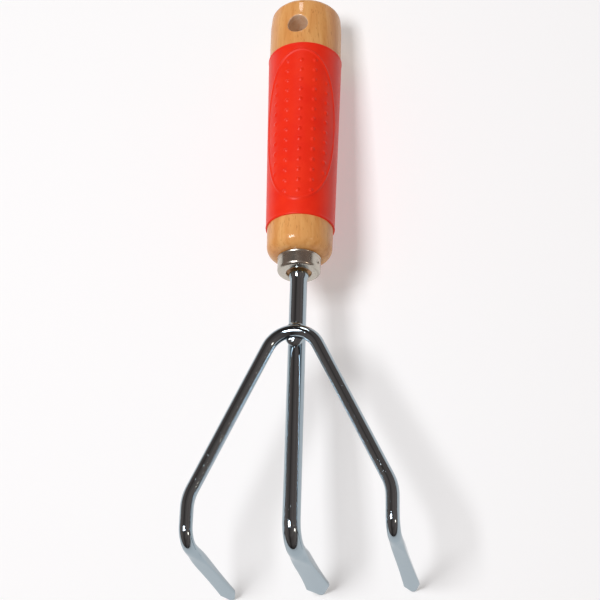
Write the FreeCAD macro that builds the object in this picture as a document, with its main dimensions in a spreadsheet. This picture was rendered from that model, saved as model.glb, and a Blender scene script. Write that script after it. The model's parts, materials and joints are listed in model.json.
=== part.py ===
import FreeCAD, Part
import math
import os
import Sketcher

# Three-tined hand cultivator, in millimetres.
#
# Every piece is drawn in the bench frame: the tool's axis lies along Y with the ferrule's
# front face at the origin, +Y runs to the butt, and the claws point down, along -Z.
# A last step turns and lifts all pieces together, so that the tool lies as it does on a
# floor, on its three claw points and the edge of its butt, with the origin under the
# middle of its bounding box.

# Driving dimensions: alias, value in mm or degrees, meaning.
DIMENSIONS = (
    ("nose_face", 7.9, "front of the handle's nose, behind the ferrule"),
    ("butt_face", 146.9, "flat end of the butt"),
    ("nose_rad", 15.4, "handle radius at the nose"),
    ("waist_rad", 15.6, "handle radius at the grip's front end"),
    ("palm_rad", 17.6, "handle radius at the grip's rear end"),
    ("butt_rad", 17.75, "handle radius at the butt"),
    ("nose_round", 5.8, "rounding of the nose"),
    ("butt_round", 3.8, "rounding of the butt"),
    ("hole_place", 130.9, "hanging hole, distance behind the ferrule's front"),
    ("hole_rad", 4.9, "hanging hole radius"),
    ("hole_round", 0.8, "rounding of the hanging hole's mouths"),
    ("grip_front", 23.0, "front end of the grip"),
    ("grip_rear", 118.8, "rear end of the grip"),
    ("grip_front_rad", 16.2, "grip outer radius at its front end"),
    ("grip_rear_rad", 18.05, "grip outer radius at its rear end"),
    ("recess_front_rad", 14.2, "radius of the wood inside the grip's front end"),
    ("recess_rear_rad", 16.05, "radius of the wood inside the grip's rear end"),
    ("grip_round", 0.3, "rounding of the grip's outer end edges"),
    ("ferrule_rad", 10.1, "ferrule outer radius"),
    ("spigot_rad", 9.1, "radius of the wood inside the ferrule"),
    ("spigot_end", 1.0, "front end of that wood, and thickness of the ferrule's lip"),
    ("mouth_rad", 5.9, "opening in the ferrule's front"),
    ("ferrule_round", 1.6, "rounding of the ferrule's front edge"),
    ("lip_round", 0.4, "rounding of the ferrule's turned-in lip"),
    ("stake_rad", 0.7, "radius of the stake mark's dent"),
    ("stake_deep", 0.5, "depth of the stake mark's dent"),
    ("stake_place", 3.4, "stake mark, distance behind the ferrule's front"),
    ("stake_turn", 74.0, "stake mark, degrees round from the top"),
    ("shank_rad", 4.0, "middle rod radius"),
    ("shoulder_round", 1.5, "rounding of the middle rod's shoulder"),
    ("tang_rad", 3.0, "tang radius"),
    ("tang_end", 60.0, "end of the tang inside the handle"),
    ("bore_end", 62.0, "bottom of the handle's tang bore"),
    ("side_rad", 3.0, "outer rod radius"),
    ("weld_gap", 0.2, "gap between the crossing rods, filled by the weld"),
    ("fork_point", 16.6, "where the outer legs' lines meet, in front of the ferrule"),
    ("fork_angle", 26.0, "lean of each outer leg from the tool's axis"),
    ("fork_bend", 13.0, "bend radius where the outer rod crosses the shank"),
    ("half_spread", 45.45, "outer claws, distance from the middle plane"),
    ("elbow_bend", 20.0, "bend radius where the outer legs turn parallel"),
    ("claw_place", 129.4, "claw corners, distance in front of the ferrule"),
    ("leg_drop", 0.6, "slope of the outer legs towards the claws"),
    ("shank_claw_bend", 10.0, "bend radius at the middle claw"),
    ("side_claw_bend", 8.0, "bend radius at the outer claws"),
    ("claw_splay", 5.3, "lean of the claws away from the handle"),
    ("claw_toe", 2.6, "lean of the outer claws towards the middle one"),
    ("claw_twist", 8.0, "turn of each claw's blade about its own line"),
    ("tip_depth", 58.5, "claw points, depth below the tool's axis"),
    ("neck_run", 2.0, "round stretch between a claw's bend and its blade"),
    ("shank_blade_rad", 5.4, "middle blade, half width at its corners"),
    ("side_blade_rad", 3.6, "outer blades, half width at their corners"),
    ("shank_blade_thick", 0.9, "middle blade, half thickness at its point"),
    ("side_blade_thick", 0.8, "outer blades, half thickness at their points"),
    ("shank_point_run", 8.3, "middle blade, corners to point"),
    ("side_point_run", 6.8, "outer blades, corners to point"),
    ("point_blunt", 1.1, "half the width of a blade's blunt point"),
    ("middle_widening", 0.2, "share of a blade's widening reached half way to its corners"),
    ("middle_fullness", 0.75, "half thickness there, as a share of the rod's radius"),
    ("corner_fullness", 1.5, "oval half thickness at the corners, as a share of the point's"),
    ("end_fullness", 1.3, "oval half thickness at the blade's end, as a share of the point's"),
    ("neck_fullness", 1.2, "trimming wedge at the neck, as a share of the rod's radius"),
    ("bead_half_width", 4.8, "weld bead, across the shank"),
    ("bead_half_run", 6.2, "weld bead, along the shank"),
    ("bead_half_depth", 2.8, "weld bead, from the outer rod to the shank"),
)

DIM = {alias: value for alias, value, meaning in DIMENSIONS}
VEC = FreeCAD.Vector
FORWARD = VEC(0, -1, 0)

# Two places or lengths closer than this, in mm, are the same.
CLOSE = 1e-3

# A swept rod's volume may differ from its length times its section by this share.
VOLUME_SLACK = 0.01


def make_sheet(doc):
    """Write the driving dimensions into the sheet, one aliased cell to a row."""
    sheet = doc.addObject("Spreadsheet::Sheet", "dims")
    for row, (alias, value, meaning) in enumerate(DIMENSIONS, start=1):
        sheet.set(f"A{row}", meaning)
        sheet.set(f"B{row}", str(value))
        sheet.setAlias(f"B{row}", alias)
    doc.recompute()


def bind(obj, **links):
    """Bind each named property of an object to a cell, or to a sum of cells, of the sheet."""
    for prop, expression in links.items():
        obj.setExpression(prop, expression)


# ---------------------------------------------------------------- turned pieces

def origin_plane(body, role):
    """Return the body's own origin plane with this role."""
    return next(item for item in body.Origin.OriginFeatures if item.Role == role)


def new_sketch(body, name, role):
    """Start a sketch on one of the body's origin planes."""
    sketch = body.newObject("Sketcher::SketchObject", name)
    sketch.AttachmentSupport = [(origin_plane(body, role), "")]
    sketch.MapMode = "FlatFace"
    return sketch


def place_corner(sketch, index, kind, alias):
    """Hold one coordinate of an outline's corner at a cell, or at zero."""
    if alias is None:
        axis = -1 if kind == "DistanceY" else -2
        sketch.addConstraint(Sketcher.Constraint("PointOnObject", index, 1, axis))
        return
    number = sketch.addConstraint(Sketcher.Constraint(kind, -1, 1, index, 1, DIM[alias]))
    sketch.setExpression(f"Constraints[{number}]", f"dims.{alias}")


def turned_body(doc, name, corners):
    """Revolve a closed outline about the tool's axis.

    Each corner is a pair of aliases, its distance along the axis and its radius, where
    None stands for zero.
    """
    body = doc.addObject("PartDesign::Body", name)
    sketch = new_sketch(body, name + "_outline", "YZ_Plane")
    points = [VEC(DIM.get(along, 0), DIM.get(radius, 0), 0) for along, radius in corners]
    count = len(points)
    for index in range(count):
        sketch.addGeometry(Part.LineSegment(points[index], points[(index + 1) % count]), False)
    for index in range(count):
        sketch.addConstraint(Sketcher.Constraint("Coincident", index, 2, (index + 1) % count, 1))
    for index, (along, radius) in enumerate(corners):
        place_corner(sketch, index, "DistanceX", along)
        place_corner(sketch, index, "DistanceY", radius)
    doc.recompute()
    turned = body.newObject("PartDesign::Revolution", name + "_turned")
    turned.Profile = sketch
    turned.ReferenceAxis = (sketch, ["H_Axis"])
    turned.Angle = 360.0
    doc.recompute()
    return body


def ring_edges(body, rings):
    """Name the round edges about the tool's axis that lie at these distances and radii."""
    names = []
    for number, edge in enumerate(body.Shape.Edges, start=1):
        if not isinstance(edge.Curve, Part.Circle):
            continue
        centre = edge.Curve.Center
        for along, radius in rings:
            same_ring = abs(edge.Curve.Radius - radius) < CLOSE and abs(centre.y - along) < CLOSE
            if same_ring and math.hypot(centre.x, centre.z) < CLOSE:
                names.append(f"Edge{number}")
    return names


def round_edges(doc, body, name, names, alias):
    """Fillet the named edges of a body's tip with a radius from the sheet."""
    base = body.Tip
    fillet = body.newObject("PartDesign::Fillet", name)
    fillet.Base = (base, names)
    bind(fillet, Radius=f"dims.{alias}")
    doc.recompute()


def make_handle(doc):
    """Turned handle: spigot, rounded nose, recess for the grip, rounded butt, tang bore."""
    body = turned_body(doc, "wooden_handle", (
        ("spigot_end", "tang_rad"), ("spigot_end", "spigot_rad"), ("nose_face", "spigot_rad"),
        ("nose_face", "nose_rad"), ("grip_front", "waist_rad"), ("grip_front", "recess_front_rad"),
        ("grip_rear", "recess_rear_rad"), ("grip_rear", "palm_rad"), ("butt_face", "butt_rad"),
        ("butt_face", None), ("bore_end", None), ("bore_end", "tang_rad")))
    nose = ring_edges(body, [(DIM["nose_face"], DIM["nose_rad"])])
    round_edges(doc, body, "nose_rounding", nose, "nose_round")
    butt = ring_edges(body, [(DIM["butt_face"], DIM["butt_rad"])])
    round_edges(doc, body, "butt_rounding", butt, "butt_round")
    drill_hanging_hole(doc, body)
    return body


def drill_hanging_hole(doc, body):
    """Drill the hanging hole up through the handle and round both its mouths."""
    before = body.Shape.Volume
    sketch = new_sketch(body, "hanging_hole_circle", "XY_Plane")
    sketch.addGeometry(Part.Circle(VEC(0, DIM["hole_place"], 0), VEC(0, 0, 1), DIM["hole_rad"]), False)
    sketch.addConstraint(Sketcher.Constraint("PointOnObject", 0, 3, -2))
    place = sketch.addConstraint(Sketcher.Constraint("DistanceY", -1, 1, 0, 3, DIM["hole_place"]))
    sketch.setExpression(f"Constraints[{place}]", "dims.hole_place")
    radius = sketch.addConstraint(Sketcher.Constraint("Radius", 0, DIM["hole_rad"]))
    sketch.setExpression(f"Constraints[{radius}]", "dims.hole_rad")
    hole = body.newObject("PartDesign::Pocket", "hanging_hole")
    hole.Profile = sketch
    hole.Type = "ThroughAll"
    hole.Midplane = True
    doc.recompute()
    half_core = math.pi * DIM["hole_rad"] ** 2 * DIM["butt_rad"]
    if body.Shape.Volume > before - half_core:
        raise RuntimeError("the hanging hole does not go through")
    mouths = [f"Edge{number}" for number, edge in enumerate(body.Shape.Edges, start=1)
              if is_hole_mouth(edge)]
    round_edges(doc, body, "hole_mouths", mouths, "hole_round")


def is_hole_mouth(edge):
    """Say whether an edge runs round a mouth of the hanging hole."""
    box = edge.BoundBox
    centred = math.hypot(box.Center.x, box.Center.y - DIM["hole_place"]) < DIM["hole_rad"]
    return centred and min(box.XLength, box.YLength) > DIM["hole_rad"] / 2


def make_grip(doc):
    """Moulded sleeve that fills the handle's recess and stands a little proud of the wood."""
    body = turned_body(doc, "rubber_grip", (
        ("grip_front", "recess_front_rad"), ("grip_front", "grip_front_rad"),
        ("grip_rear", "grip_rear_rad"), ("grip_rear", "recess_rear_rad")))
    ends = ring_edges(body, [(DIM["grip_front"], DIM["grip_front_rad"]),
                             (DIM["grip_rear"], DIM["grip_rear_rad"])])
    round_edges(doc, body, "grip_end_rounding", ends, "grip_round")
    return body


def make_ferrule(doc):
    """Pressed cup with its front edge turned in, held by one punched stake mark."""
    body = turned_body(doc, "ferrule", (
        (None, "mouth_rad"), (None, "ferrule_rad"), ("nose_face", "ferrule_rad"),
        ("nose_face", "spigot_rad"), ("spigot_end", "spigot_rad"), ("spigot_end", "mouth_rad")))
    front = ring_edges(body, [(0, DIM["ferrule_rad"])])
    round_edges(doc, body, "ferrule_front_rounding", front, "ferrule_round")
    lip = ring_edges(body, [(0, DIM["mouth_rad"])])
    round_edges(doc, body, "ferrule_lip_rounding", lip, "lip_round")
    punch_stake_mark(doc, body)
    return body


def punch_stake_mark(doc, body):
    """Punch the stake mark: a small round dent in the ferrule's side, cut in towards its axis."""
    before = body.Shape.Volume
    turned = FreeCAD.Rotation(VEC(0, 1, 0), DIM["stake_turn"])
    outward = turned.multVec(VEC(0, 0, DIM["ferrule_rad"]))
    sketch = new_sketch(body, "stake_mark_circle", "XY_Plane")
    sketch.AttachmentOffset = FreeCAD.Placement(outward + VEC(0, DIM["stake_place"], 0), turned)
    sketch.addGeometry(Part.Circle(VEC(0, 0, 0), VEC(0, 0, 1), DIM["stake_rad"]), False)
    sketch.addConstraint(Sketcher.Constraint("Coincident", 0, 3, -1, 1))
    radius = sketch.addConstraint(Sketcher.Constraint("Radius", 0, DIM["stake_rad"]))
    sketch.setExpression(f"Constraints[{radius}]", "dims.stake_rad")
    dent = body.newObject("PartDesign::Pocket", "stake_mark")
    dent.Profile = sketch
    bind(dent, Length="dims.stake_deep")
    doc.recompute()
    half_dent = math.pi * DIM["stake_rad"] ** 2 * DIM["stake_deep"] / 2
    if body.Shape.Volume > before - half_dent:
        raise RuntimeError("the stake mark is too shallow")


# ---------------------------------------------------------------- bent rods

def tangent_path(corners, bends):
    """Join straight runs by arcs of the given radii, one at each inner corner."""
    edges = []
    start = corners[0]
    for before, corner, after, radius in zip(corners, corners[1:], corners[2:], bends):
        inward = (before - corner).normalize()
        outward = (after - corner).normalize()
        half = inward.getAngle(outward) / 2
        middle = (inward + outward).normalize()
        first = corner + inward * (radius / math.tan(half))
        last = corner + outward * (radius / math.tan(half))
        top = corner + middle * (radius / math.sin(half) - radius)
        edges.append(Part.LineSegment(start, first).toShape())
        edges.append(Part.Arc(first, top, last).toShape())
        start = last
    edges.append(Part.LineSegment(start, corners[-1]).toShape())
    return Part.Wire(edges)


def swept_rod(doc, name, corners, bends, radius):
    """Sweep a round bar, its radius a cell of the sheet, along a bent path."""
    spine = doc.addObject("Part::Feature", name + "_path")
    spine.Shape = tangent_path(corners, bends)
    ring = doc.addObject("Part::Circle", name + "_section")
    bind(ring, Radius=f"dims.{radius}")
    ring.Placement = FreeCAD.Placement(
        corners[0], FreeCAD.Rotation(VEC(0, 0, 1), corners[1] - corners[0]))
    rod = doc.addObject("Part::Sweep", name)
    rod.Sections = [ring]
    rod.Spine = (spine, [f"Edge{number}" for number in range(1, len(spine.Shape.Edges) + 1)])
    rod.Solid = True
    rod.Frenet = False
    doc.recompute()
    expected = spine.Shape.Length * math.pi * DIM[radius] ** 2
    if abs(rod.Shape.Volume / expected - 1) > VOLUME_SLACK:
        raise RuntimeError(f"{name} has volume {rod.Shape.Volume:.0f}, not {expected:.0f}")
    return rod


def claw_line(side):
    """Unit vector down a claw: splayed forward, and toed in on the outer claws."""
    splay = math.radians(DIM["claw_splay"])
    toe = math.radians(DIM["claw_toe"])
    return VEC(-side * math.tan(toe), -math.tan(splay), -1).normalize()


def corner_tangent(turn, radius):
    """Length that an arc of this radius takes from each run, for a turn in radians."""
    return radius * math.tan(turn / 2)


def claw_neck(corner, arriving, side, radius):
    """Return where a claw's blade begins, past its bend and neck."""
    line = claw_line(side)
    turn = arriving.getAngle(line)
    return corner + line * (corner_tangent(turn, radius) + DIM["neck_run"])


def blade(doc, name, start, side, rod):
    """Forge a blade on the end of a rod, from its neck down to the claws' common depth.

    A loft widens and flattens from the round rod to an oval, and a wedge trims it to two
    flat faces and a blunt point.
    """
    line = claw_line(side)
    total = (start.z + DIM["tip_depth"]) / -line.z
    corners_at = total - DIM[f"{rod}_point_run"]
    frame = blade_frame(start, line)
    neck = doc.addObject("Part::Circle", name + "_neck")
    bind(neck, Radius=f"dims.{rod}_rad")
    neck.Placement = frame
    loft = doc.addObject("Part::Loft", name + "_loft")
    loft.Sections = [
        neck,
        oval(doc, name + "_middle", frame, corners_at / 2,
             f"dims.{rod}_rad + (dims.{rod}_blade_rad - dims.{rod}_rad) * dims.middle_widening",
             f"dims.{rod}_rad * dims.middle_fullness"),
        oval(doc, name + "_corners", frame, corners_at,
             f"dims.{rod}_blade_rad", f"dims.{rod}_blade_thick * dims.corner_fullness"),
        oval(doc, name + "_end", frame, total,
             f"dims.{rod}_blade_rad", f"dims.{rod}_blade_thick * dims.end_fullness")]
    loft.Solid = True
    wedge = blade_wedge(doc, name + "_wedge", frame, total, rod)
    trimmed = doc.addObject("Part::Common", name)
    trimmed.Base = loft
    trimmed.Tool = wedge
    return trimmed


def blade_frame(start, line):
    """Placement with its Z down the claw and its X across the blade, twisted about the line."""
    across = VEC(1, 0, 0) - line * line.x
    untwisted = FreeCAD.Rotation(across, line.cross(across), line, "ZXY")
    twist = FreeCAD.Rotation(line, -DIM["claw_twist"])
    return FreeCAD.Placement(start, twist * untwisted)


def oval(doc, name, frame, along, major, minor):
    """Draw one oval section of a blade, this far down the claw."""
    section = doc.addObject("Part::Ellipse", name)
    bind(section, MajorRadius=major, MinorRadius=minor)
    section.Placement = frame * FreeCAD.Placement(VEC(0, 0, along), FreeCAD.Rotation())
    return section


def blade_wedge(doc, name, frame, total, rod):
    """Wedge that tapers in both ways to the blade's point, with its long axis down the claw."""
    flank = (DIM[f"{rod}_blade_rad"] - DIM["point_blunt"]) / DIM[f"{rod}_point_run"]
    wedge = doc.addObject("Part::Wedge", name)
    wedge.Xmin, wedge.Xmax = -DIM["point_blunt"] - flank * total, DIM["point_blunt"] + flank * total
    wedge.Ymin, wedge.Ymax = 0, total
    bind(wedge, Zmin=f"-dims.{rod}_rad * dims.neck_fullness",
         Zmax=f"dims.{rod}_rad * dims.neck_fullness",
         X2min="-dims.point_blunt", X2max="dims.point_blunt",
         Z2min=f"-dims.{rod}_blade_thick", Z2max=f"dims.{rod}_blade_thick")
    upright = FreeCAD.Rotation(VEC(1, 0, 0), 90)
    wedge.Placement = frame * FreeCAD.Placement(VEC(0, 0, 0), upright)
    return wedge


def make_centre_tine(doc):
    """Middle rod: tang, rounded shoulder, shank, bend and forged blade."""
    corner = VEC(0, -DIM["claw_place"], 0)
    neck = claw_neck(corner, FORWARD, 0, DIM["shank_claw_bend"])
    path = [VEC(0, DIM["spigot_end"], 0), corner, neck]
    shank = swept_rod(doc, "shank", path, [DIM["shank_claw_bend"]], "shank_rad")
    rounded = doc.addObject("Part::Fillet", "shank_shoulder")
    rounded.Base = shank
    rounded.Edges = [(number, DIM["shoulder_round"], DIM["shoulder_round"])
                     for number, edge in enumerate(shank.Shape.Edges, start=1)
                     if edge.BoundBox.YLength < CLOSE and edge.BoundBox.YMax > 0]
    tang = doc.addObject("Part::Cylinder", "tang")
    bind(tang, Radius="dims.tang_rad", Height="dims.tang_end - dims.spigot_end")
    tang.Placement = FreeCAD.Placement(path[0], FreeCAD.Rotation(VEC(0, 0, 1), VEC(0, 1, 0)))
    fused = doc.addObject("Part::MultiFuse", "centre_tine")
    fused.Shapes = [rounded, tang, blade(doc, "middle_blade", neck, 0, "shank")]
    doc.recompute()
    return fused, shank


def make_outer_tines(doc):
    """Outer rod: one bar over the shank, bent to a fork with an elbow and a claw on each side."""
    height = DIM["shank_rad"] + DIM["side_rad"] + DIM["weld_gap"]
    slope = math.tan(math.radians(DIM["leg_drop"]))
    crossing = crossing_place()

    def on_leg(across, along):
        return VEC(across, -along, height - (along - crossing) * slope)

    spread = DIM["half_spread"]
    elbow_at = DIM["fork_point"] + spread / math.tan(math.radians(DIM["fork_angle"]))
    elbow = on_leg(spread, elbow_at)
    corner = on_leg(spread, DIM["claw_place"])
    neck = claw_neck(corner, corner - elbow, 1, DIM["side_claw_bend"])
    right = [neck, corner, elbow]
    left = [VEC(-point.x, point.y, point.z) for point in reversed(right)]
    path = right + [on_leg(0, DIM["fork_point"])] + left
    bends = [DIM["side_claw_bend"], DIM["elbow_bend"]]
    rod = swept_rod(doc, "outer_rod", path, bends + [DIM["fork_bend"]] + bends[::-1], "side_rad")
    fused = doc.addObject("Part::MultiFuse", "outer_tines")
    fused.Shapes = [rod, blade(doc, "right_blade", path[0], 1, "side"),
                    blade(doc, "left_blade", path[-1], -1, "side")]
    doc.recompute()
    return fused, rod


def crossing_place():
    """Distance in front of the ferrule at which the outer rod crosses the shank."""
    return DIM["fork_point"] + DIM["fork_bend"] * (1 / math.sin(math.radians(DIM["fork_angle"])) - 1)


def make_weld(doc, shank, outer_rod):
    """Weld bead: an oval lump round the crossing, less the two rods that it joins."""
    lump = doc.addObject("Part::Ellipsoid", "weld_lump")
    lump.Angle1, lump.Angle2, lump.Angle3 = -90, 90, 360
    bind(lump, Radius1="dims.bead_half_depth", Radius2="dims.bead_half_width",
         Radius3="dims.bead_half_run")
    middle = DIM["shank_rad"] + DIM["weld_gap"] / 2
    lump.Placement.Base = VEC(0, -crossing_place(), middle)
    rods = doc.addObject("Part::MultiFuse", "crossing_rods")
    rods.Shapes = [shank, outer_rod]
    bead = doc.addObject("Part::Cut", "weld_bead")
    bead.Base = lump
    bead.Tool = rods
    doc.recompute()
    return bead


# ---------------------------------------------------------------- resting pose and output

def rest_turn():
    """Lift of the tool's claw end, in degrees, when it lies on its claw points and its butt."""
    splay = math.radians(DIM["claw_splay"])
    heel = DIM["shank_blade_thick"]
    reach = DIM["claw_place"] + DIM["tip_depth"] * math.tan(splay) - heel * math.cos(splay)
    depth = DIM["tip_depth"] + heel * math.sin(splay)
    along = DIM["butt_face"] - DIM["butt_round"] + reach
    down = depth - (DIM["butt_rad"] - DIM["butt_round"])
    to_centre = math.atan2(down, along)
    return math.degrees(to_centre - math.asin(DIM["butt_round"] / math.hypot(along, down)))


def set_down(doc, pieces):
    """Lay the tool on the floor, with the middle of its bounding box over the origin."""
    turn = FreeCAD.Placement(VEC(0, 0, 0), FreeCAD.Rotation(VEC(1, 0, 0), -rest_turn()))
    for piece in pieces:
        piece.Placement = turn
    doc.recompute()
    box = Part.makeCompound([piece.Shape for piece in pieces]).optimalBoundingBox(True, False)
    turn.Base = VEC(-box.Center.x, -box.Center.y, -box.ZMin)
    for piece in pieces:
        piece.Placement = turn
    doc.recompute()


def check(doc, pieces):
    """Stop if any object failed, or if a piece is not one valid solid."""
    failed = [obj.Label for obj in doc.Objects if {"Invalid", "Error"} & set(obj.State)]
    if failed:
        raise RuntimeError(f"failed objects: {failed}")
    for piece in pieces:
        shape = piece.Shape
        if shape.isNull() or not shape.isValid() or len(shape.Solids) != 1:
            raise RuntimeError(f"{piece.Label} is not one valid solid")


def main():
    doc = FreeCAD.newDocument("hand_cultivator")
    make_sheet(doc)
    centre_tine, shank = make_centre_tine(doc)
    outer_tines, outer_rod = make_outer_tines(doc)
    pieces = [make_handle(doc), make_grip(doc), make_ferrule(doc), centre_tine, outer_tines,
              make_weld(doc, shank, outer_rod)]
    set_down(doc, pieces)
    check(doc, pieces)
    os.makedirs("parts", exist_ok=True)
    for piece in pieces:
        piece.Shape.exportStep(f"parts/{piece.Label}.step")
        box = piece.Shape.BoundBox
        print(f"{piece.Label}: {piece.Shape.Volume:.0f} mm3, z {box.ZMin:.2f} to {box.ZMax:.2f}")


main()
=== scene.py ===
import json
import math

import bmesh
import bpy
import numpy as np
from mathutils import Matrix, Vector


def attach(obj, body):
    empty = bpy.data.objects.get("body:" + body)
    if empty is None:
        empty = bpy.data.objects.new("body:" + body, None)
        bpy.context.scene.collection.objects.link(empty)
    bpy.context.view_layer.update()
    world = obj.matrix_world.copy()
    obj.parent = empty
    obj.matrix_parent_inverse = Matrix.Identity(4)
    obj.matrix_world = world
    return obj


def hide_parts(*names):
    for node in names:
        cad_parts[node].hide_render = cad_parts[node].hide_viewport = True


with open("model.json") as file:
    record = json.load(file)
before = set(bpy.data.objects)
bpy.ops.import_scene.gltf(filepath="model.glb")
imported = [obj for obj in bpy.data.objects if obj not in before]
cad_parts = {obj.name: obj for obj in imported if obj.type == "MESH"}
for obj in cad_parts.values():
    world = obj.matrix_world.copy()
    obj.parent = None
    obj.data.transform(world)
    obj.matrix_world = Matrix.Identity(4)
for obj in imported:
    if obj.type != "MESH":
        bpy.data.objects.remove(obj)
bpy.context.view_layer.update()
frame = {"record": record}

# Looks of a three-tined hand cultivator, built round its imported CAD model.
#
# Pieces are worked out in the bench frame, in millimetres: the tool's axis is Y with the
# ferrule's front face at zero and the butt on the + side, X is across and Z is up, away
# from the claws. The hanging hole in the frame's record says how the tool lies, so
# placed() carries each finished grid from the bench to the frame, in metres.

MM = 0.001

# Wooden handle, in mm and radians: places along the axis, radii and edge roundings.
HOLE_PLACE, HOLE_RAD, HOLE_ROUND = 130.9, 4.9, 0.8
SPIGOT_END, SPIGOT_RAD = 1.0, 9.1
NOSE_FACE, NOSE_RAD, NOSE_ROUND = 7.9, 15.4, 5.8
BUTT_FACE, BUTT_RAD, BUTT_ROUND = 146.9, 17.75, 3.8
CROWN_START, CROWN_RUN, CROWN_SLOPE = 135.8, 4.4, math.radians(5.0)
WAIST_RAD, PALM_RAD = 15.6, 17.6
TANG_RAD, TANG_END, BORE_END = 3.0, 60.0, 62.0
NOSE_STEP, BUTT_RING, HANDLE_COLUMNS = 1.0, 8.0, 128

# The square block of the handle's grid that the hanging hole is let into.
BLOCK_HALF, BLOCK_ROWS, BLOCK_HALF_COLUMNS = 8.0, 25, 9

# Rubber grip.
GRIP_FRONT, GRIP_REAR = 23.0, 118.8
GRIP_FRONT_RAD, GRIP_REAR_RAD = 16.2, 18.05
GRIP_WALL, GRIP_ROUND = 2.0, 0.25
GRIP_ROWS = 330

# The grip's moulded pattern: an oval bead with rows of nubs inside it, turned a little
# to one side of the hanging hole. The grid is finer over the panel that it covers.
PANEL_TURN, PANEL_HALF_ANGLE = math.radians(8.5), 78.0
PANEL_COLUMNS, BACK_COLUMNS = 171, 69
OVAL_CENTRE, OVAL_HALF_LENGTH = 72.8, 41.8
OVAL_HALF_ANGLE = math.radians(66.0)
BEAD_HEIGHT, BEAD_HALF_WIDTH = 0.38, 0.5
NUB_ROWS, NUB_PITCH, NUB_FIRST = 14, 5.59, 35.7
NUB_COLUMN_STEP, OUTER_COLUMN = math.radians(22.3), 2
NUB_HEIGHT, NUB_FALL, NUB_POWER = 0.5, 0.84, 2.6
SHORT_COLUMN_SKIPS = 2
RIM_HEIGHT, RIM_PLACE, RIM_HALF_WIDTH = 0.16, 0.7, 0.5

# Ferrule: its rolled rear edge stands a little proud, and a stake mark dents its side.
FERRULE_RAD, FERRULE_ROUND = 10.1, 1.6
ROLL_RAD, ROLL_PROUD, ROLL_RUN = 0.5, 0.12, 1.4
MOUTH_RAD, LIP_ROUND = 5.9, 0.45
FACE_INSET, WALL_BAND = 0.2, 0.4
STAKE_PLACE, STAKE_TURN, STAKE_HALF_ANGLE = 3.4, math.radians(74.0), 14.0
DENT_DEEP, DENT_FALL = 0.55, 0.55
BURR_HEIGHT, BURR_RAD, BURR_HALF_WIDTH = 0.12, 1.0, 0.28
STAKE_COLUMNS, CUP_COLUMNS = 97, 133

# Bent rods.
SHANK_RAD, SIDE_RAD = 4.0, 3.0
SWELL_HEIGHT, SWELL_CREST, SWELL_RUN = 0.6, -1.3, 2.7
FORK_POINT, FORK_ANGLE, FORK_BEND = 16.6, math.radians(26.0), 13.0
HALF_SPREAD, ELBOW_BEND = 45.45, 20.0
CLAW_PLACE = 129.4
LEG_DROP = math.radians(0.6)
SHANK_CLAW_BEND, SIDE_CLAW_BEND = 10.0, 8.0
ROD_STEP, ARC_STEP, ROD_COLUMNS = 1.5, math.radians(3.0), 56
OUT_OF_PLANE = 0.02

# Forged claws: each blade widens to two corners, then closes in a point.
CLAW_SPLAY, CLAW_TOE, CLAW_TWIST = math.radians(5.3), math.radians(2.6), math.radians(8.0)
TIP_DEPTH, NECK_RUN = 58.5, 2.0
WIDENING, THINNING = 2.4, 1.6
FLATTENED_AT, FLAT_POWER = 0.3, 7.0
POINT_BLUNT, POINT_STRAIGHT = 1.1, 0.88
BLADE_ROWS, POINT_ROWS, POINT_CROWDING = 40, 26, 1.6
SHANK_BLADE = {"rod": SHANK_RAD, "half_width": 5.4, "half_thick": 0.9, "point_run": 8.3}
SIDE_BLADE = {"rod": SIDE_RAD, "half_width": 3.6, "half_thick": 0.8, "point_run": 6.8}

# Weld bead: half sizes across, along and up, and how strong its two ripples are.
WELD_GAP = 0.2
WELD_HALF = (4.8, 6.2, 2.8)
WELD_SWELL, WELD_RIPPLE = 0.06, 0.035
WELD_ROWS, WELD_COLUMNS = 37, 72

# Where the outer rod's middle crosses the shank: how far ahead of the ferrule, how high.
CROSSING = FORK_POINT + FORK_BEND * (1 / math.sin(FORK_ANGLE) - 1)
CROSSING_HEIGHT = SHANK_RAD + SIDE_RAD + WELD_GAP

# Meshes: points nearer than this are one, and edges that turn by more stay crisp.
MERGE, SLIVER, CRISP = 0.002, 0.001, math.radians(40.0)

X = np.array([1.0, 0.0, 0.0])
Y = np.array([0.0, 1.0, 0.0])

HOLE = frame["record"]["mounts"][0]
UP = np.array(HOLE["axis"]) / np.linalg.norm(HOLE["axis"])
ALONG = np.cross(UP, X)
BENCH_ZERO = np.array(HOLE["pos_m"]) - ALONG * HOLE_PLACE * MM
LIE = math.atan2(UP[1], UP[2])


def placed(points):
    """Carry bench points, in mm, to the frame: zero + x across + y along + z up, in metres."""
    across, along, up = np.moveaxis(np.asarray(points) * MM, -1, 0)
    return BENCH_ZERO + across[..., None] * X + along[..., None] * ALONG + up[..., None] * UP


# ---------------------------------------------------------------- meshes

def grid_faces(rows, columns):
    """Quads between neighbours of a grid whose last column joins up with its first."""
    row = np.arange(rows - 1)[:, None]
    column = np.arange(columns)[None, :]
    after = (column + 1) % columns
    corners = (row * columns + column, row * columns + after,
               (row + 1) * columns + after, (row + 1) * columns + column)
    return np.stack(np.broadcast_arrays(*corners), axis=-1).reshape(-1, 4)


def unit(vector):
    """A vector, or each row of a table of vectors, divided by its length."""
    return np.asarray(vector) / np.linalg.norm(vector, axis=-1, keepdims=True)


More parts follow.
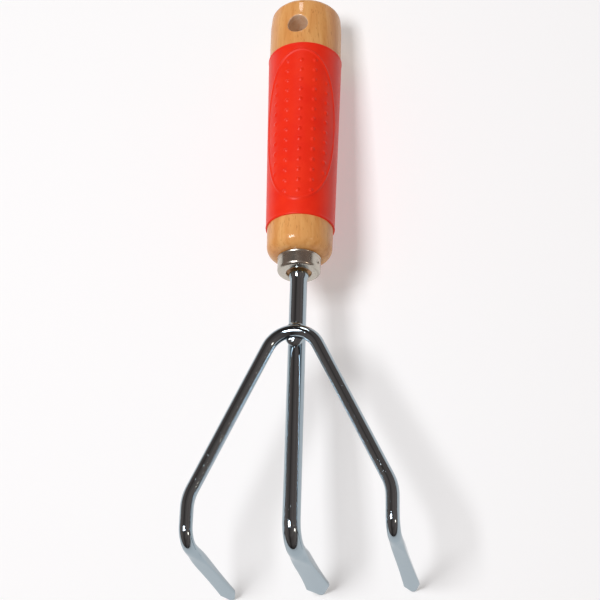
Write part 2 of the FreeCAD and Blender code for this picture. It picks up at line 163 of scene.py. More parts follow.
def make_piece(name, points, faces, material):
    """Turn points and quads into a closed, smooth, outward-facing piece.

    Points that meet, as at seams and poles, are merged.
    """
    mesh = bpy.data.meshes.new(name)
    mesh.from_pydata(placed(points).reshape(-1, 3).tolist(), [], faces.tolist())
    work = bmesh.new()
    work.from_mesh(mesh)
    bmesh.ops.remove_doubles(work, verts=work.verts, dist=MERGE * MM)
    bmesh.ops.dissolve_degenerate(work, edges=work.edges, dist=SLIVER * MM)
    bmesh.ops.recalc_face_normals(work, faces=work.faces)
    work.to_mesh(mesh)
    work.free()
    mesh.polygons.foreach_set("use_smooth", np.ones(len(mesh.polygons), bool))
    mesh.set_sharp_from_angle(angle=CRISP)
    mesh.materials.append(material)
    piece = bpy.data.objects.new(name, mesh)
    bpy.context.scene.collection.objects.link(piece)
    return piece


def straight(start, end, count):
    """Points evenly along a straight stretch of an outline, without its last one."""
    share = np.linspace(0, 1, count, endpoint=False)[:, None]
    return np.array(start) * (1 - share) + np.array(end) * share


def rounded(centre, radius, first, last, count):
    """Points of an arc of an outline: centre + radius (cos, sin), angles in degrees."""
    angle = np.radians(np.linspace(first, last, count))
    return np.array(centre) + radius * np.stack([np.cos(angle), np.sin(angle)], axis=-1)


def turned(along, radius, turn):
    """Carry an outline round the axis: x = r sin(turn), y = along, z = r cos(turn).

    along and radius have a row for each point of the outline. The radius may also have a
    column for each turn.
    """
    return np.stack(np.broadcast_arrays(radius * np.sin(turn), along, radius * np.cos(turn)), axis=-1)


def uneven_turns(half_angle, fine, coarse):
    """Turns once round, with fine steps within half_angle degrees of zero and coarse beyond."""
    near = np.linspace(-half_angle, half_angle, fine)
    far = np.linspace(half_angle, 360 - half_angle, coarse)[1:-1]
    return np.radians(np.concatenate([near, far]))


# ---------------------------------------------------------------- wooden handle

def wood_radius(along):
    """Radius of the bare butt end: a straight taper, then a slight crown towards the butt.

    The crown's slope rises evenly from nothing to its full value, and stays at that.
    """
    share = (along - GRIP_REAR) / (BUTT_FACE - GRIP_REAR)
    past = np.maximum(along - CROWN_START, 0)
    curved = np.minimum(past, CROWN_RUN)
    drop = math.tan(CROWN_SLOPE) * (curved ** 2 / (2 * CROWN_RUN) + past - curved)
    return PALM_RAD + (BUTT_RAD - PALM_RAD) * share - drop


def handle_outline(block):
    """Outline of the handle as rows of (y, radius), from the tang's bore out to the butt's centre.

    block is the stretch of evenly spaced rows that the hanging hole is let into.
    """
    nose_centre = (NOSE_FACE + NOSE_ROUND, NOSE_RAD - NOSE_ROUND)
    butt_start = BUTT_FACE - BUTT_ROUND
    butt_centre = (butt_start, wood_radius(butt_start) - BUTT_ROUND)
    crown_y = np.linspace(block[-1], butt_start, 8)[1:]
    crown = np.stack([crown_y, wood_radius(crown_y)], axis=-1)
    return np.concatenate([
        straight((BORE_END, 0), (BORE_END, TANG_RAD), 2),
        straight((BORE_END, TANG_RAD), (SPIGOT_END, TANG_RAD), 8),
        straight((SPIGOT_END, TANG_RAD), (SPIGOT_END, SPIGOT_RAD), 4),
        straight((SPIGOT_END, SPIGOT_RAD), (NOSE_FACE, SPIGOT_RAD), 3),
        straight((NOSE_FACE, SPIGOT_RAD), (NOSE_FACE, NOSE_RAD - NOSE_ROUND), 2),
        rounded(nose_centre, NOSE_ROUND, 180, 90, 14),
        straight((NOSE_FACE + NOSE_ROUND + NOSE_STEP, NOSE_RAD), (GRIP_FRONT, WAIST_RAD), 8),
        straight((GRIP_FRONT, WAIST_RAD), (GRIP_FRONT, GRIP_FRONT_RAD - GRIP_WALL), 2),
        straight((GRIP_FRONT, GRIP_FRONT_RAD - GRIP_WALL), (GRIP_REAR, GRIP_REAR_RAD - GRIP_WALL), 4),
        straight((GRIP_REAR, GRIP_REAR_RAD - GRIP_WALL), (GRIP_REAR, PALM_RAD), 2),
        straight((GRIP_REAR, PALM_RAD), (block[0], wood_radius(block[0])), 4),
        np.stack([block, wood_radius(block)], axis=-1),
        crown[:-1], rounded(butt_centre, BUTT_ROUND, 90, 0, 14),
        [(BUTT_FACE, BUTT_RING), (BUTT_FACE, 0)]])


def hole_lining(block):
    """Skin that runs from a square block of the handle's grid in to the hanging hole.

    From the block's edge, rings shrink evenly to the mouth's circle. They roll over the
    mouth's rounding, a quarter circle, and go down the bore. The lower half mirrors the
    upper one. Returns a grid of (rings, points round the ring).
    """
    half_columns = BLOCK_HALF_COLUMNS
    step = 2 * np.pi / HANDLE_COLUMNS
    across = np.arange(-half_columns, half_columns) * step
    side = np.full(len(block) - 1, half_columns * step)
    turn = np.concatenate([across, side, -across, -side])
    front, rear = np.full(2 * half_columns, block[0]), np.full(2 * half_columns, block[-1])
    along = np.concatenate([front, block[:-1], rear, block[:0:-1]])
    edge_x = wood_radius(along) * np.sin(turn)
    bearing = np.arctan2(along - HOLE_PLACE, edge_x)

    def skin(x, y):
        return np.sqrt(wood_radius(y) ** 2 - x ** 2)

    mouth = HOLE_RAD + HOLE_ROUND
    mouth_x, mouth_y = mouth * np.cos(bearing), HOLE_PLACE + mouth * np.sin(bearing)
    share = np.linspace(0, 1, 8)[:, None]
    mouth_turn = np.arcsin(mouth_x / wood_radius(mouth_y))
    flat_y = along * (1 - share) + mouth_y * share
    flat_x = wood_radius(flat_y) * np.sin(turn * (1 - share) + mouth_turn * share)
    roll = np.linspace(0, np.pi / 2, 8)[1:, None]
    roll_rad = HOLE_RAD + HOLE_ROUND * (1 - np.sin(roll))
    roll_z = skin(mouth_x, mouth_y) - HOLE_ROUND * (1 - np.cos(roll))
    down = np.linspace(1, 0, 7)[1:, None]
    bore_z = (skin(mouth_x, mouth_y) - HOLE_ROUND) * down
    bore_rad = np.full(down.shape, HOLE_RAD)
    ring_rad = np.concatenate([roll_rad, bore_rad])
    x = np.concatenate([flat_x, ring_rad * np.cos(bearing)])
    y = np.concatenate([flat_y, HOLE_PLACE + ring_rad * np.sin(bearing)])
    z = np.concatenate([skin(flat_x, flat_y), roll_z, bore_z])
    upper = np.stack([x, y, z], axis=-1)
    lower = upper[-2::-1] * [1, 1, -1]
    return np.concatenate([upper, lower])


def make_handle(material):
    """Turned handle with its hanging hole.

    The outline turned round the axis gives the skin. Two square blocks of its quads, at
    the top and the bottom, make way for the hole's lining.
    """
    columns, half_columns = HANDLE_COLUMNS, BLOCK_HALF_COLUMNS
    block = np.linspace(HOLE_PLACE - BLOCK_HALF, HOLE_PLACE + BLOCK_HALF, BLOCK_ROWS)
    outline = handle_outline(block)
    turn = np.linspace(0, 2 * np.pi, columns, endpoint=False)
    skin = turned(outline[:, :1], outline[:, 1:], turn)
    faces = grid_faces(len(outline), columns)
    first_row = int(np.argmin(np.abs(outline[:, 0] - block[0])))
    row, column = faces[:, 0] // columns, faces[:, 0] % columns
    in_rows = (row >= first_row) & (row < first_row + len(block) - 1)
    past_top = (column + half_columns) % columns < 2 * half_columns
    past_bottom = (column + half_columns + columns // 2) % columns < 2 * half_columns
    faces = faces[~(in_rows & (past_top | past_bottom))]
    lining = hole_lining(block)
    lining_faces = grid_faces(lining.shape[0], lining.shape[1]) + skin.shape[0] * columns
    points = np.concatenate([skin.reshape(-1, 3), lining.reshape(-1, 3)])
    return make_piece("handle_turned_wood", points, np.concatenate([faces, lining_faces]), material)


# ---------------------------------------------------------------- rubber grip

def grip_relief(along, turn, radius):
    """Height of the moulded pattern over the plain sleeve.

    The bead follows an ellipse, with a bell-shaped section. A nub is a low dome with a
    soft foot, at each crossing of the rows and columns. The outer columns are shorter.
    A low rim, also bell-shaped, runs round just inside each end.
    """
    turn = (turn - PANEL_TURN + np.pi) % (2 * np.pi) - np.pi
    reach = OVAL_HALF_ANGLE * radius
    y = (along - OVAL_CENTRE) / OVAL_HALF_LENGTH
    x = turn / OVAL_HALF_ANGLE
    size = np.hypot(x, y) + 1e-9
    slope = np.hypot(y / OVAL_HALF_LENGTH, x / reach) / size + 1e-9
    from_oval = (size - 1) / slope
    bead = BEAD_HEIGHT * np.exp(-(from_oval / BEAD_HALF_WIDTH) ** 2)
    column = np.clip(np.round(turn / NUB_COLUMN_STEP), -OUTER_COLUMN, OUTER_COLUMN)
    skip = np.where(np.abs(column) == OUTER_COLUMN, SHORT_COLUMN_SKIPS, 0)
    row = np.clip(np.round((along - NUB_FIRST) / NUB_PITCH), skip, NUB_ROWS - 1 - skip)
    from_nub = np.hypot((turn - column * NUB_COLUMN_STEP) * radius, along - NUB_FIRST - row * NUB_PITCH)
    nub = NUB_HEIGHT * np.exp(-(from_nub / NUB_FALL) ** NUB_POWER)
    from_end = np.minimum(along - GRIP_FRONT, GRIP_REAR - along)
    rim = RIM_HEIGHT * np.exp(-((from_end - RIM_PLACE) / RIM_HALF_WIDTH) ** 2)
    return bead + nub + rim


def make_grip(material):
    """Moulded sleeve: a tapered tube with rounded ends, and the pattern on its outside."""
    turn = PANEL_TURN + uneven_turns(PANEL_HALF_ANGLE, PANEL_COLUMNS, BACK_COLUMNS)
    front = rounded((GRIP_FRONT + GRIP_ROUND, GRIP_FRONT_RAD - GRIP_ROUND), GRIP_ROUND, 180, 90, 6)
    rear = rounded((GRIP_REAR - GRIP_ROUND, GRIP_REAR_RAD - GRIP_ROUND), GRIP_ROUND, 90, 0, 6)
    outside = straight(front[-1], rear[0], GRIP_ROWS)[1:]
    inside = np.array([(GRIP_REAR, GRIP_REAR_RAD - GRIP_WALL), (GRIP_FRONT, GRIP_FRONT_RAD - GRIP_WALL)])
    outline = np.concatenate([front, outside, rear, inside, front[:1]])
    along, radius = outline[:, :1], outline[:, 1:]
    sunk = (radius < GRIP_FRONT_RAD - GRIP_ROUND) | (along > GRIP_REAR - GRIP_ROUND)
    relief = np.where(sunk, 0, grip_relief(along, turn, radius))
    points = turned(along, radius + relief, turn)
    return make_piece("grip_moulded_rubber", points, grid_faces(len(outline), len(turn)), material)


# ---------------------------------------------------------------- ferrule

def make_ferrule(material):
    """Pressed cup: rolled rear edge, wall, rounded front edge and turned-in lip.

    The stake mark is a bell-shaped dent, with a low raised burr of the same shape round it.
    """
    turn = STAKE_TURN + uneven_turns(STAKE_HALF_ANGLE, STAKE_COLUMNS, CUP_COLUMNS)
    roll = (NOSE_FACE - ROLL_RAD, FERRULE_RAD - ROLL_RAD + ROLL_PROUD)
    shoulder = FERRULE_RAD - FERRULE_ROUND
    lip = MOUTH_RAD + LIP_ROUND
    outline = np.concatenate([
        rounded(roll, ROLL_RAD, 0, 130, 12),
        straight((NOSE_FACE - ROLL_RUN, FERRULE_RAD), (FERRULE_ROUND, FERRULE_RAD), 36),
        rounded((FERRULE_ROUND, shoulder), FERRULE_ROUND, 90, 180, 14),
        straight((0, shoulder - FACE_INSET), (0, lip + FACE_INSET / 2), 6),
        rounded((LIP_ROUND, lip), LIP_ROUND, 180, 270, 6),
        rounded((SPIGOT_END - LIP_ROUND, lip), LIP_ROUND, 270, 360, 6),
        [(SPIGOT_END, SPIGOT_RAD), (NOSE_FACE, SPIGOT_RAD), (NOSE_FACE, (SPIGOT_RAD + FERRULE_RAD) / 2)]])
    outline = np.concatenate([outline, outline[:1]])
    along, radius = outline[:, :1], outline[:, 1:]
    from_stake = np.hypot((turn - STAKE_TURN) * FERRULE_RAD, along - STAKE_PLACE)
    burr = BURR_HEIGHT * np.exp(-((from_stake - BURR_RAD) / BURR_HALF_WIDTH) ** 2)
    dent = DENT_DEEP * np.exp(-(from_stake / DENT_FALL) ** 2)
    on_wall = radius > FERRULE_RAD - WALL_BAND
    points = turned(along, radius + np.where(on_wall, burr - dent, 0), turn)
    return make_piece("ferrule_nickel_cup", points, grid_faces(len(outline), len(turn)), material)


# ---------------------------------------------------------------- bent rods

def bent_path(corners, bends):
    """Stations along straight runs joined by tangent arcs, as points and directions.

    On an arc of radius r that turns from direction a towards b, with n square to a:
    point = start + r (sin(t) a + (1 - cos(t)) n), direction = cos(t) a + sin(t) n.
    """
    points, directions = [], []
    start = corners[0]
    for before, corner, after, radius in zip(corners, corners[1:], corners[2:], bends):
        a, b = unit(corner - before), unit(after - corner)
        turn = math.acos(float(a @ b))
        n = unit(b - a * math.cos(turn))
        first = corner - a * radius * math.tan(turn / 2)
        count = max(2, int(np.linalg.norm(first - start) / ROD_STEP))
        points.append(straight(start, first, count))
        directions.append(np.broadcast_to(a, (count, 3)))
        t = np.linspace(0, turn, max(4, int(turn / ARC_STEP)), endpoint=False)[:, None]
        points.append(first + radius * (np.sin(t) * a + (1 - np.cos(t)) * n))
        directions.append(np.cos(t) * a + np.sin(t) * n)
        start = corner + b * radius * math.tan(turn / 2)
    last = unit(corners[-1] - corners[-2])
    points.append(straight(start, corners[-1], 4))
    directions.append(np.broadcast_to(last, (4, 3)))
    return np.concatenate(points), np.concatenate(directions)


def claw_line(side):
    """Direction down a claw: splayed forward, and toed in on the outer claws."""
    return unit(np.array([-side * math.tan(CLAW_TOE), -math.tan(CLAW_SPLAY), -1.0]))


def claw_neck(corner, arriving, line, radius):
    """Where a claw's blade begins, past its bend and a short round neck."""
    turn = math.acos(float(unit(arriving) @ line))
    return corner + line * (radius * math.tan(turn / 2) + NECK_RUN)


def blade_stations(start, line, rod, half_width, half_thick, point_run):
    """Stations of a forged blade, from its neck to its point.

    The width grows with a power of the distance to the corners, then closes along two
    straight flanks and a small quarter ellipse. The thickness falls to the point, and the
    section's exponent rises from 2, round, to that of a flat-faced bar.
    """
    total = (start[2] + TIP_DEPTH) / -line[2]
    to_corners = total - point_run
    body = np.linspace(0, 1, BLADE_ROWS)
    u = 1 - (1 - np.linspace(0, 1, POINT_ROWS)[1:]) ** POINT_CROWDING
    distance = np.concatenate([body * to_corners, to_corners + u * point_run])
    grown = rod + (half_width - rod) * body ** WIDENING
    closing = np.sqrt(1 - np.clip((u - POINT_STRAIGHT) / (1 - POINT_STRAIGHT), 0, 1) ** 2)
    point = (half_width - (half_width - POINT_BLUNT) * u) * closing
    share = distance / total
    thick = half_thick + (rod - half_thick) * (1 - share) ** THINNING
    flat = np.clip(share / FLATTENED_AT, 0, 1)
    flat = flat * flat * (3 - 2 * flat)
    return {"points": start + line * distance[:, None],
            "directions": np.broadcast_to(line, (len(distance), 3)),
            "sides": np.broadcast_to(X, (len(distance), 3)),
            "width": np.concatenate([grown, point]), "thick": thick,
            "power": 2 + (FLAT_POWER - 2) * flat, "twist": -CLAW_TWIST * flat}


def rod_stations(points, directions, sides, radius):
    """Stations of a round rod, whose radius is one number or one for each station."""
    even = np.ones(len(points))
    return {"points": points, "directions": directions, "sides": sides,
            "width": radius * even, "thick": radius * even, "power": 2 * even, "twist": 0 * even}


def joined(*parts):
    """Put runs of stations end to end."""
    return {key: np.concatenate([part[key] for part in parts]) for key in parts[0]}


def reversed_run(part):
    """The same stations walked the other way, so directions and twists change sign."""
    back = {key: value[::-1] for key, value in part.items()}
    return {**back, "directions": -back["directions"], "twist": -back["twist"]}


def section_surface(part):
    """Carry a section along the stations.

    The section is the superellipse x = w |cos a|^(2/n), z = t |sin a|^(2/n), with the
    signs of cos and sin, drawn across the path on its side vector, turned by the twist.
    """
    angle = (np.arange(ROD_COLUMNS) + 0.5) * 2 * np.pi / ROD_COLUMNS
    power = 2 / part["power"][:, None]
    x = part["width"][:, None] * np.sign(np.cos(angle)) * np.abs(np.cos(angle)) ** power
    z = part["thick"][:, None] * np.sign(np.sin(angle)) * np.abs(np.sin(angle)) ** power
    ahead = unit(part["directions"])
    side = unit(part["sides"] - ahead * np.sum(part["sides"] * ahead, axis=-1, keepdims=True))
    above = np.cross(side, ahead)
    cos, sin = np.cos(part["twist"])[:, None], np.sin(part["twist"])[:, None]
    twisted = side * cos + np.cross(ahead, side) * sin
    upright = above * cos + np.cross(ahead, above) * sin
    return part["points"][:, None] + x[..., None] * twisted[:, None] + z[..., None] * upright[:, None]


def swelled_radius(along):
    """Radius of the shank where it leaves the ferrule: a low domed swell, a raised cosine."""
    from_crest = np.clip(np.abs(along - SWELL_CREST) / SWELL_RUN, 0, 1)
    return SHANK_RAD + SWELL_HEIGHT * (1 + np.cos(np.pi * from_crest)) / 2


def make_centre_tine(material):
    """Middle rod: tang, swell, shank, bend and forged claw, as one surface.

    A row of points all at its middle closes the tang's end, and the blade's last section
    has no width, so it closes itself.
    """
    line = claw_line(0)
    corner = np.array([0.0, -CLAW_PLACE, 0.0])
    neck = claw_neck(corner, -Y, line, SHANK_CLAW_BEND)
    swell_end = np.array([0.0, SWELL_CREST - SWELL_RUN, 0.0])
    points, directions = bent_path([swell_end, corner, neck], [SHANK_CLAW_BEND])
    shank = rod_stations(points, directions, np.broadcast_to(X, points.shape), SHANK_RAD)
    swelled = np.linspace(SPIGOT_END, swell_end[1], 40, endpoint=False)
    along = np.concatenate([[TANG_END, SPIGOT_END], swelled])
    before = along[:, None] * Y
    radii = np.concatenate([[TANG_RAD, TANG_RAD], swelled_radius(swelled)])
    start = rod_stations(before, np.broadcast_to(-Y, before.shape), np.broadcast_to(X, before.shape), radii)
    grid = section_surface(joined(start, shank, blade_stations(neck, line, **SHANK_BLADE)))
    tang_end = np.broadcast_to(grid[0].mean(axis=0), (1, grid.shape[1], 3))
    grid = np.concatenate([tang_end, grid])
    return make_piece("tine_centre_chromed", grid, grid_faces(len(grid), grid.shape[1]), material)


def make_outer_tines(material):
    """Outer rod: claw, bend, elbow, leg, fork over the shank, and the same again mirrored."""
    def on_leg(across, along):
        return np.array([across, -along, CROSSING_HEIGHT - (along - CROSSING) * math.tan(LEG_DROP)])

    elbow = on_leg(HALF_SPREAD, FORK_POINT + HALF_SPREAD / math.tan(FORK_ANGLE))
    corner = on_leg(HALF_SPREAD, CLAW_PLACE)
    line = claw_line(1)
    neck = claw_neck(corner, corner - elbow, line, SIDE_CLAW_BEND)
    mirror = np.array([-1.0, 1.0, 1.0])
    right = [neck, corner, elbow]
    corners = right + [on_leg(0, FORK_POINT)] + [point * mirror for point in reversed(right)]
    points, directions = bent_path(
        corners, [SIDE_CLAW_BEND, ELBOW_BEND, FORK_BEND, ELBOW_BEND, SIDE_CLAW_BEND])
    plane = np.array([0.0, -math.sin(LEG_DROP), math.cos(LEG_DROP)])
    claw = np.abs(directions @ plane) > OUT_OF_PLANE
    sides = np.where(claw[:, None], np.sign(points[:, :1]) * X, np.cross(directions, plane))
    rod = rod_stations(points, directions, sides, SIDE_RAD)
    right_blade = reversed_run(blade_stations(neck, line, **SIDE_BLADE))
    left_blade = blade_stations(neck * mirror, claw_line(-1), **SIDE_BLADE)
    left_blade["sides"] = -left_blade["sides"]
    grid = section_surface(joined(right_blade, rod, left_blade))
    return make_piece("tines_outer_chromed", grid, grid_faces(len(grid), grid.shape[1]), material)


def make_weld(material):
    """Weld bead: an oval lump between the crossing rods, with uneven ripples.

    Each point is the unit sphere's, scaled to the bead's half sizes and to a ripple that
    is a sum of sines of the two angles.
    """
    polar = np.linspace(0, np.pi, WELD_ROWS)[:, None]
    bearing = np.linspace(0, 2 * np.pi, WELD_COLUMNS, endpoint=False)[None, :]
    swell = WELD_SWELL * np.sin(3 * bearing + 1) * np.sin(polar)
    ripple = WELD_RIPPLE * np.sin(7 * bearing + 4 * polar) * np.sin(polar) ** 2
    ball = np.stack(np.broadcast_arrays(np.sin(polar) * np.cos(bearing), -np.cos(polar),
                                        np.sin(polar) * np.sin(bearing)), axis=-1)
    centre = np.array([0.0, -CROSSING, SHANK_RAD + WELD_GAP / 2])
    grid = centre + ball * WELD_HALF * (1 + swell + ripple)[..., None]
    return make_piece("weld_plated_bead", grid, grid_faces(WELD_ROWS, WELD_COLUMNS), material)


# ---------------------------------------------------------------- materials

def linear(colour):
    """Linear RGBA of an sRGB hex colour."""
    value = np.array([int(colour[i:i + 2], 16) for i in (1, 3, 5)]) / 255
    value = np.where(value <= 0.04045, value / 12.92, ((value + 0.055) / 1.055) ** 2.4)
    return (*value.tolist(), 1.0)


def add_node(tree, kind, links=(), stops=(), **settings):
    """Add a node, set its properties, inputs and ramp stops, and link its inputs.

    links are (input, output socket) pairs, and stops are (position, hex colour) pairs.
    """
    node = tree.nodes.new(kind)
    for key, value in settings.items():
        if hasattr(node, key):
            setattr(node, key, value)
        else:
            node.inputs[key.replace("_", " ")].default_value = value
    if stops:
        elements = node.color_ramp.elements
        while len(elements) < len(stops):
            elements.new(0.5)
        for element, (position, colour) in zip(elements, stops):
            element.position = position
            element.color = linear(colour)
    for key, socket in links:
        tree.links.new(socket, node.inputs[key])
    return node


def new_material(name):
    """An empty material with its output node."""
    material = bpy.data.materials.new(name)
    material.use_nodes = True
    material.node_tree.nodes.clear()
    output = material.node_tree.nodes.new("ShaderNodeOutputMaterial")
    return material, material.node_tree, output


def every(width):
    """Noise scale, per metre, of a pattern whose features are this many millimetres apart."""
    return 1000 / width


def bench_coordinates(tree, scale=(1.0, 1.0, 1.0)):
    """Object coordinates from the bench's zero, scaled, then turned so that Y runs along the tool.

    The scaling comes first, on the frame's own axes, so a drawn-out pattern lies level and
    meets the tool's axis at 8 degrees, as sloping grain does.
    """
    place = add_node(tree, "ShaderNodeTexCoord")
    level = add_node(tree, "ShaderNodeMapping", [("Vector", place.outputs["Object"])],
                     Location=Vector(-BENCH_ZERO))
    turn = add_node(tree, "ShaderNodeMapping", [("Vector", level.outputs["Vector"])],
                    Rotation=(LIE, 0, 0), Scale=scale)
    return turn.outputs["Vector"]


def bore_mask(tree):
    """One inside the hanging hole and nothing outside it, from the distance to its axis."""
    flat = add_node(tree, "ShaderNodeVectorMath",
                    [(0, bench_coordinates(tree))], operation="SUBTRACT")
    flat.inputs[1].default_value = (0, HOLE_PLACE * MM, 0)
    level = add_node(tree, "ShaderNodeVectorMath", [(0, flat.outputs["Vector"])], operation="MULTIPLY")
    level.inputs[1].default_value = (1, 1, 0)
    reach = add_node(tree, "ShaderNodeVectorMath", [(0, level.outputs["Vector"])], operation="LENGTH")
    inside = add_node(tree, "ShaderNodeMapRange", [("Value", reach.outputs["Value"])],
                      From_Min=(HOLE_RAD + HOLE_ROUND / 2) * MM, From_Max=HOLE_RAD * MM)
    return inside.outputs["Result"]


def lacquered_beech():
    """Turned beech under clear lacquer.

    It shows a honey colour with faint lengthwise figure, three lines to the centimetre,
    over broad bands some 17 mm wide. Short dark pores, coarser here than beech's own so that
    they show, run with it. The lacquer gives small sharp highlights. The hole's wall is
    paler for two reasons. Partly it is bare wood, bored after the turning. Partly it is painted
    light: it is made paler still, to stand in for light that hardly reaches into the bore.
    """
    material, tree, output = new_material("lacquered_beech")
    figure = add_node(tree, "ShaderNodeTexNoise", [("Vector", bench_coordinates(tree, (1, 0.05, 1)))],
                      Scale=every(10 / 3), Detail=4.0, Roughness=0.55, Distortion=0.4)
    bands = add_node(tree, "ShaderNodeTexNoise", [("Vector", bench_coordinates(tree, (1, 0.15, 1)))],
                     Scale=every(100 / 6), Detail=2.0)
    pores = add_node(tree, "ShaderNodeTexNoise", [("Vector", bench_coordinates(tree, (1, 0.12, 1)))],
                     Scale=every(0.625), Detail=2.0)
    honey = add_node(tree, "ShaderNodeValToRGB", [("Fac", figure.outputs["Fac"])],
                     ((0.28, "#D19150"), (0.45, "#DFA462"), (0.6, "#E6B06E"), (0.75, "#EABA7B")))
    broad = add_node(tree, "ShaderNodeValToRGB", [("Fac", bands.outputs["Fac"])],
                     ((0.35, "#EFC795"), (0.65, "#FFFBF4")))
    dark = add_node(tree, "ShaderNodeValToRGB", [("Fac", pores.outputs["Fac"])],
                    ((0.30, "#B08050"), (0.38, "#FFFFFF")))
    banded = add_node(tree, "ShaderNodeMix", [("A", honey.outputs["Color"]), ("B", broad.outputs["Color"])],
                      data_type="RGBA", blend_type="MULTIPLY", Factor=0.5)
    pored = add_node(tree, "ShaderNodeMix", [("A", banded.outputs["Result"]), ("B", dark.outputs["Color"])],
                     data_type="RGBA", blend_type="MULTIPLY", Factor=0.35)
    # Painted light in part: the bore wall's bare-wood colour is made paler still, to stand in for light
    # that hardly gets into the hole.
    bore_bare_and_painted_light = add_node(tree, "ShaderNodeValToRGB", [("Fac", figure.outputs["Fac"])],
                       ((0.3, "#E6BE96"), (0.7, "#F8E2CA")))
    surface = add_node(tree, "ShaderNodeMix",
                       [("Factor", bore_mask(tree)), ("A", pored.outputs["Result"]),
                        ("B", bore_bare_and_painted_light.outputs["Color"])], data_type="RGBA")
    bump = add_node(tree, "ShaderNodeBump", [("Height", figure.outputs["Fac"])],
                    Strength=0.10, Distance=0.15 * MM)
    shader = add_node(tree, "ShaderNodeBsdfPrincipled",
                      [("Base Color", surface.outputs["Result"]), ("Normal", bump.outputs["Normal"])],
                      Roughness=0.45, IOR=1.5, Specular_IOR_Level=0.12,
                      Coat_Weight=0.5, Coat_Roughness=0.09)
    tree.links.new(shader.outputs["BSDF"], output.inputs["Surface"])
    return material


def moulded_rubber():
    """Injection-moulded rubber, bright red.

    It has the satin sheen of a spark-eroded mould, a grain of a quarter of a millimetre, with
    slight mottling of colour and gloss in patches of about 11 mm.
    """
    material, tree, output = new_material("moulded_rubber")
    where = bench_coordinates(tree)
    grain = add_node(tree, "ShaderNodeTexNoise", [("Vector", where)], Scale=every(10 / 42), Detail=2.0)
    mottle = add_node(tree, "ShaderNodeTexNoise", [("Vector", where)], Scale=every(100 / 9), Detail=3.0)
    colour = add_node(tree, "ShaderNodeValToRGB", [("Fac", mottle.outputs["Fac"])],
                      ((0.35, "#EB2B16"), (0.65, "#F13318")))
    gloss = add_node(tree, "ShaderNodeMapRange", [("Value", mottle.outputs["Fac"])],
                     To_Min=0.33, To_Max=0.42)
    bump = add_node(tree, "ShaderNodeBump", [("Height", grain.outputs["Fac"])],
                    Strength=0.12, Distance=0.05 * MM)
    shader = add_node(tree, "ShaderNodeBsdfPrincipled",
                      [("Base Color", colour.outputs["Color"]), ("Normal", bump.outputs["Normal"]),
                       ("Roughness", gloss.outputs["Result"])], IOR=1.5, Specular_IOR_Level=0.18)
    tree.links.new(shader.outputs["BSDF"], output.inputs["Surface"])
    return material


def plated(name, colour, roughness, wave, pits):
    """Electroplated steel.

    A bright metal surface follows the slight waviness of the polished bar under it, some
    6 mm from crest to crest, and has a few pits about 0.8 mm apart, coarser than real ones
    so that they show. wave and pits are the strengths of the two bumps.
    """
    material, tree, output = new_material(name)
    where = bench_coordinates(tree)
    swell = add_node(tree, "ShaderNodeTexNoise", [("Vector", where)], Scale=every(6.25), Detail=3.0)
    specks = add_node(tree, "ShaderNodeTexNoise", [("Vector", where)], Scale=every(10 / 13), Detail=1.0)
    sunk = add_node(tree, "ShaderNodeMapRange", [("Value", specks.outputs["Fac"])],
                    From_Min=0.27, From_Max=0.34)
    smooth = add_node(tree, "ShaderNodeBump", [("Height", swell.outputs["Fac"])],
                      Strength=wave, Distance=0.3 * MM)
    pitted = add_node(tree, "ShaderNodeBump",
                      [("Height", sunk.outputs["Result"]), ("Normal", smooth.outputs["Normal"])],
                      Strength=pits, Distance=0.05 * MM)
    haze = add_node(tree, "ShaderNodeMapRange", [("Value", swell.outputs["Fac"])],
                    To_Min=roughness * 0.7, To_Max=roughness * 1.3)
    shader = add_node(tree, "ShaderNodeBsdfPrincipled",
                      [("Normal", pitted.outputs["Normal"]), ("Roughness", haze.outputs["Result"])],
                      Base_Color=linear(colour), Metallic=1.0)
    tree.links.new(shader.outputs["BSDF"], output.inputs["Surface"])
    return material


# ---------------------------------------------------------------- stage, light and camera

def make_floor():
    """Plain pale table, far wider than the tool, lit a little from below to keep shadows faint."""
    material, tree, output = new_material("pale_floor")
    shader = add_node(tree, "ShaderNodeBsdfPrincipled", Base_Color=linear("#CACAC9"), Roughness=0.9,
                      Specular_IOR_Level=0.15, Emission_Color=linear("#FFFFFF"), Emission_Strength=0.38)
    tree.links.new(shader.outputs["BSDF"], output.inputs["Surface"])
    reach = 4.0
    corners = [(-reach, -reach, 0), (reach, -reach, 0), (reach, reach, 0), (-reach, reach, 0)]
    mesh = bpy.data.meshes.new("floor")
    mesh.from_pydata(corners, [], [(0, 1, 2, 3)])
    mesh.materials.append(material)
    floor = bpy.data.objects.new("floor", mesh)
    bpy.context.scene.collection.objects.link(floor)


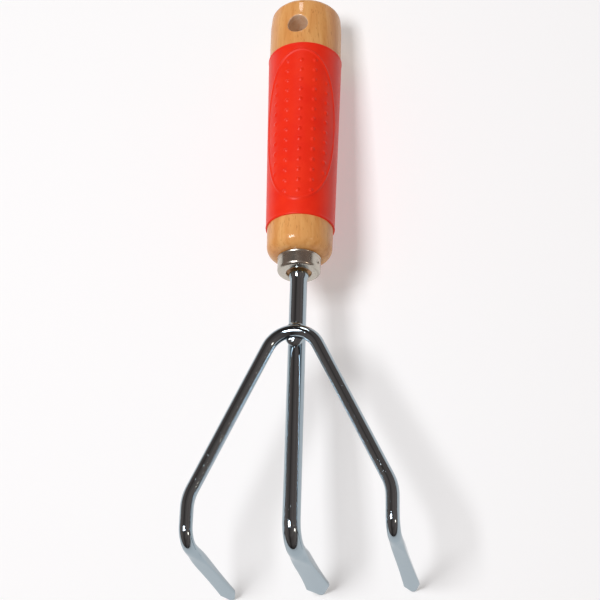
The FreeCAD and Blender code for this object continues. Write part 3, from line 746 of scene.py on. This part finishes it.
def make_room():
    """Dim warm grey room for the metal to reflect, and a pale backdrop behind the table.

    Its tone changes with the height, and a darker strip stands a little to the left of the
    middle, which draws a dark line along each rod.
    """
    world = bpy.data.worlds.new("studio")
    world.use_nodes = True
    tree = world.node_tree
    tree.nodes.clear()
    place = add_node(tree, "ShaderNodeTexCoord")
    toward = add_node(tree, "ShaderNodeSeparateXYZ", [("Vector", place.outputs["Generated"])])
    tone = add_node(tree, "ShaderNodeValToRGB", [("Fac", toward.outputs["Z"])],
                    ((0.0, "#4B4240"), (0.12, "#5B504C"), (0.3, "#7A6C66"),
                     (0.65, "#6D5F5A"), (0.8, "#81726C"), (1.0, "#70635F")))
    sideways = add_node(tree, "ShaderNodeMapRange", [("Value", toward.outputs["X"])], From_Min=-1.0)
    strip = add_node(tree, "ShaderNodeValToRGB", [("Fac", sideways.outputs["Result"])],
                     ((0.0, "#FFFFFF"), (0.2, "#D8D8D8"), (0.34, "#8A8A8A"), (0.39, "#6A6A6A"),
                      (0.45, "#B8B8B8"), (0.58, "#C6C6C6"), (0.8, "#E4E4E4"), (1.0, "#FFFFFF")))
    shaded = add_node(tree, "ShaderNodeMix", [("A", tone.outputs["Color"]), ("B", strip.outputs["Color"])],
                      data_type="RGBA", blend_type="MULTIPLY", Factor=1.0)
    room = add_node(tree, "ShaderNodeBackground", [("Color", shaded.outputs["Result"])], Strength=1.4)
    backdrop = add_node(tree, "ShaderNodeBackground", Color=linear("#F4F4F3"), Strength=1.0)
    path = add_node(tree, "ShaderNodeLightPath")
    mix = add_node(tree, "ShaderNodeMixShader", [("Fac", path.outputs["Is Camera Ray"])])
    tree.links.new(room.outputs["Background"], mix.inputs[1])
    tree.links.new(backdrop.outputs["Background"], mix.inputs[2])
    output = tree.nodes.new("ShaderNodeOutputWorld")
    tree.links.new(mix.outputs["Shader"], output.inputs["Surface"])
    bpy.context.scene.world = world


def facing(position, target, roll=0.0):
    """Turn that points an object's -Z from a position at a target, rolled about that line."""
    ahead = (target - position).normalized()
    level = ahead.cross(Vector((0, 0, 1))).normalized()
    upright = level.cross(ahead)
    right = level * math.cos(roll) + upright * math.sin(roll)
    return Matrix((right, (-ahead).cross(right), -ahead)).transposed()


def add_light(name, direction, distance, size, power, colour):
    """Square soft light, in a bench direction from the bench's zero; metres and watts."""
    lamp = bpy.data.lights.new(name, "AREA")
    lamp.size = size
    lamp.energy = power
    lamp.color = linear(colour)[:3]
    x, y, z = unit(direction)
    toward = Vector(x * X + y * ALONG + z * UP)
    target = Vector(BENCH_ZERO)
    light = bpy.data.objects.new(name, lamp)
    bpy.context.scene.collection.objects.link(light)
    light.location = target + toward * distance
    light.rotation_euler = facing(light.location, target).to_euler()
    return light


def make_lights():
    """Key light above and a little to the left, a warm fill on the right, one behind the butt.

    The fill adds second highlights only, so it is kept out of the diffuse light.
    """
    add_light("key", (-0.23, -0.16, 0.96), distance=1.3, size=0.42, power=15.5, colour="#FAFBFF")
    fill = add_light("fill", (0.78, -0.38, 0.50), distance=1.3, size=0.18, power=1.0, colour="#FFE9D2")
    fill.visible_diffuse = False
    add_light("back", (-0.055, 0.763, 0.645), distance=1.31, size=0.18, power=1.3, colour="#FFFFFF")


def make_camera():
    """Camera above the claws' end, a little to the right, rolled so that the tool stands upright."""
    azimuth, elevation, roll = math.radians(34.5), math.radians(66.5), math.radians(-37.4)
    distance = 0.7358
    target = Vector(placed([0.92, -13.9, 0.0]))
    back = Vector((math.sin(azimuth) * math.cos(elevation), -math.cos(azimuth) * math.cos(elevation),
                   math.sin(elevation)))
    lens = bpy.data.cameras.new("camera")
    lens.sensor_width = 36.0
    lens.lens = 96.0
    camera = bpy.data.objects.new("camera", lens)
    bpy.context.scene.collection.objects.link(camera)
    camera.location = target + back * distance
    camera.rotation_euler = facing(camera.location, target, roll).to_euler()
    bpy.context.scene.camera = camera


# ---------------------------------------------------------------- the tool

def main():
    """Make each piece with its material, say which body it rides on and what it replaces, then the stage.
    """
    chrome = plated("bright_chrome", "#A0AEB6", roughness=0.06, wave=0.16, pits=0.3)
    nickel = plated("satin_nickel", "#BFB9AE", roughness=0.27, wave=0.16, pits=0.15)
    weld = plated("chromed_weld", "#AAB6BC", roughness=0.10, wave=0.6, pits=0.5)
    built = (
        (make_handle(lacquered_beech()), "wooden_handle", "lacquered_wood"),
        (make_grip(moulded_rubber()), "rubber_grip", "red_rubber"),
        (make_ferrule(nickel), "ferrule", "nickel_plate"),
        (make_centre_tine(chrome), "centre_tine", "chrome_plate"),
        (make_outer_tines(chrome), "outer_tines", "chrome_plate"),
        (make_weld(weld), "weld_bead", "plated_weld"))
    for piece, node, slot in built:
        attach(piece, "root")
        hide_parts(node)
    make_floor()
    make_room()
    make_lights()
    make_camera()
    bpy.context.scene.view_settings.view_transform = "Standard"


main()
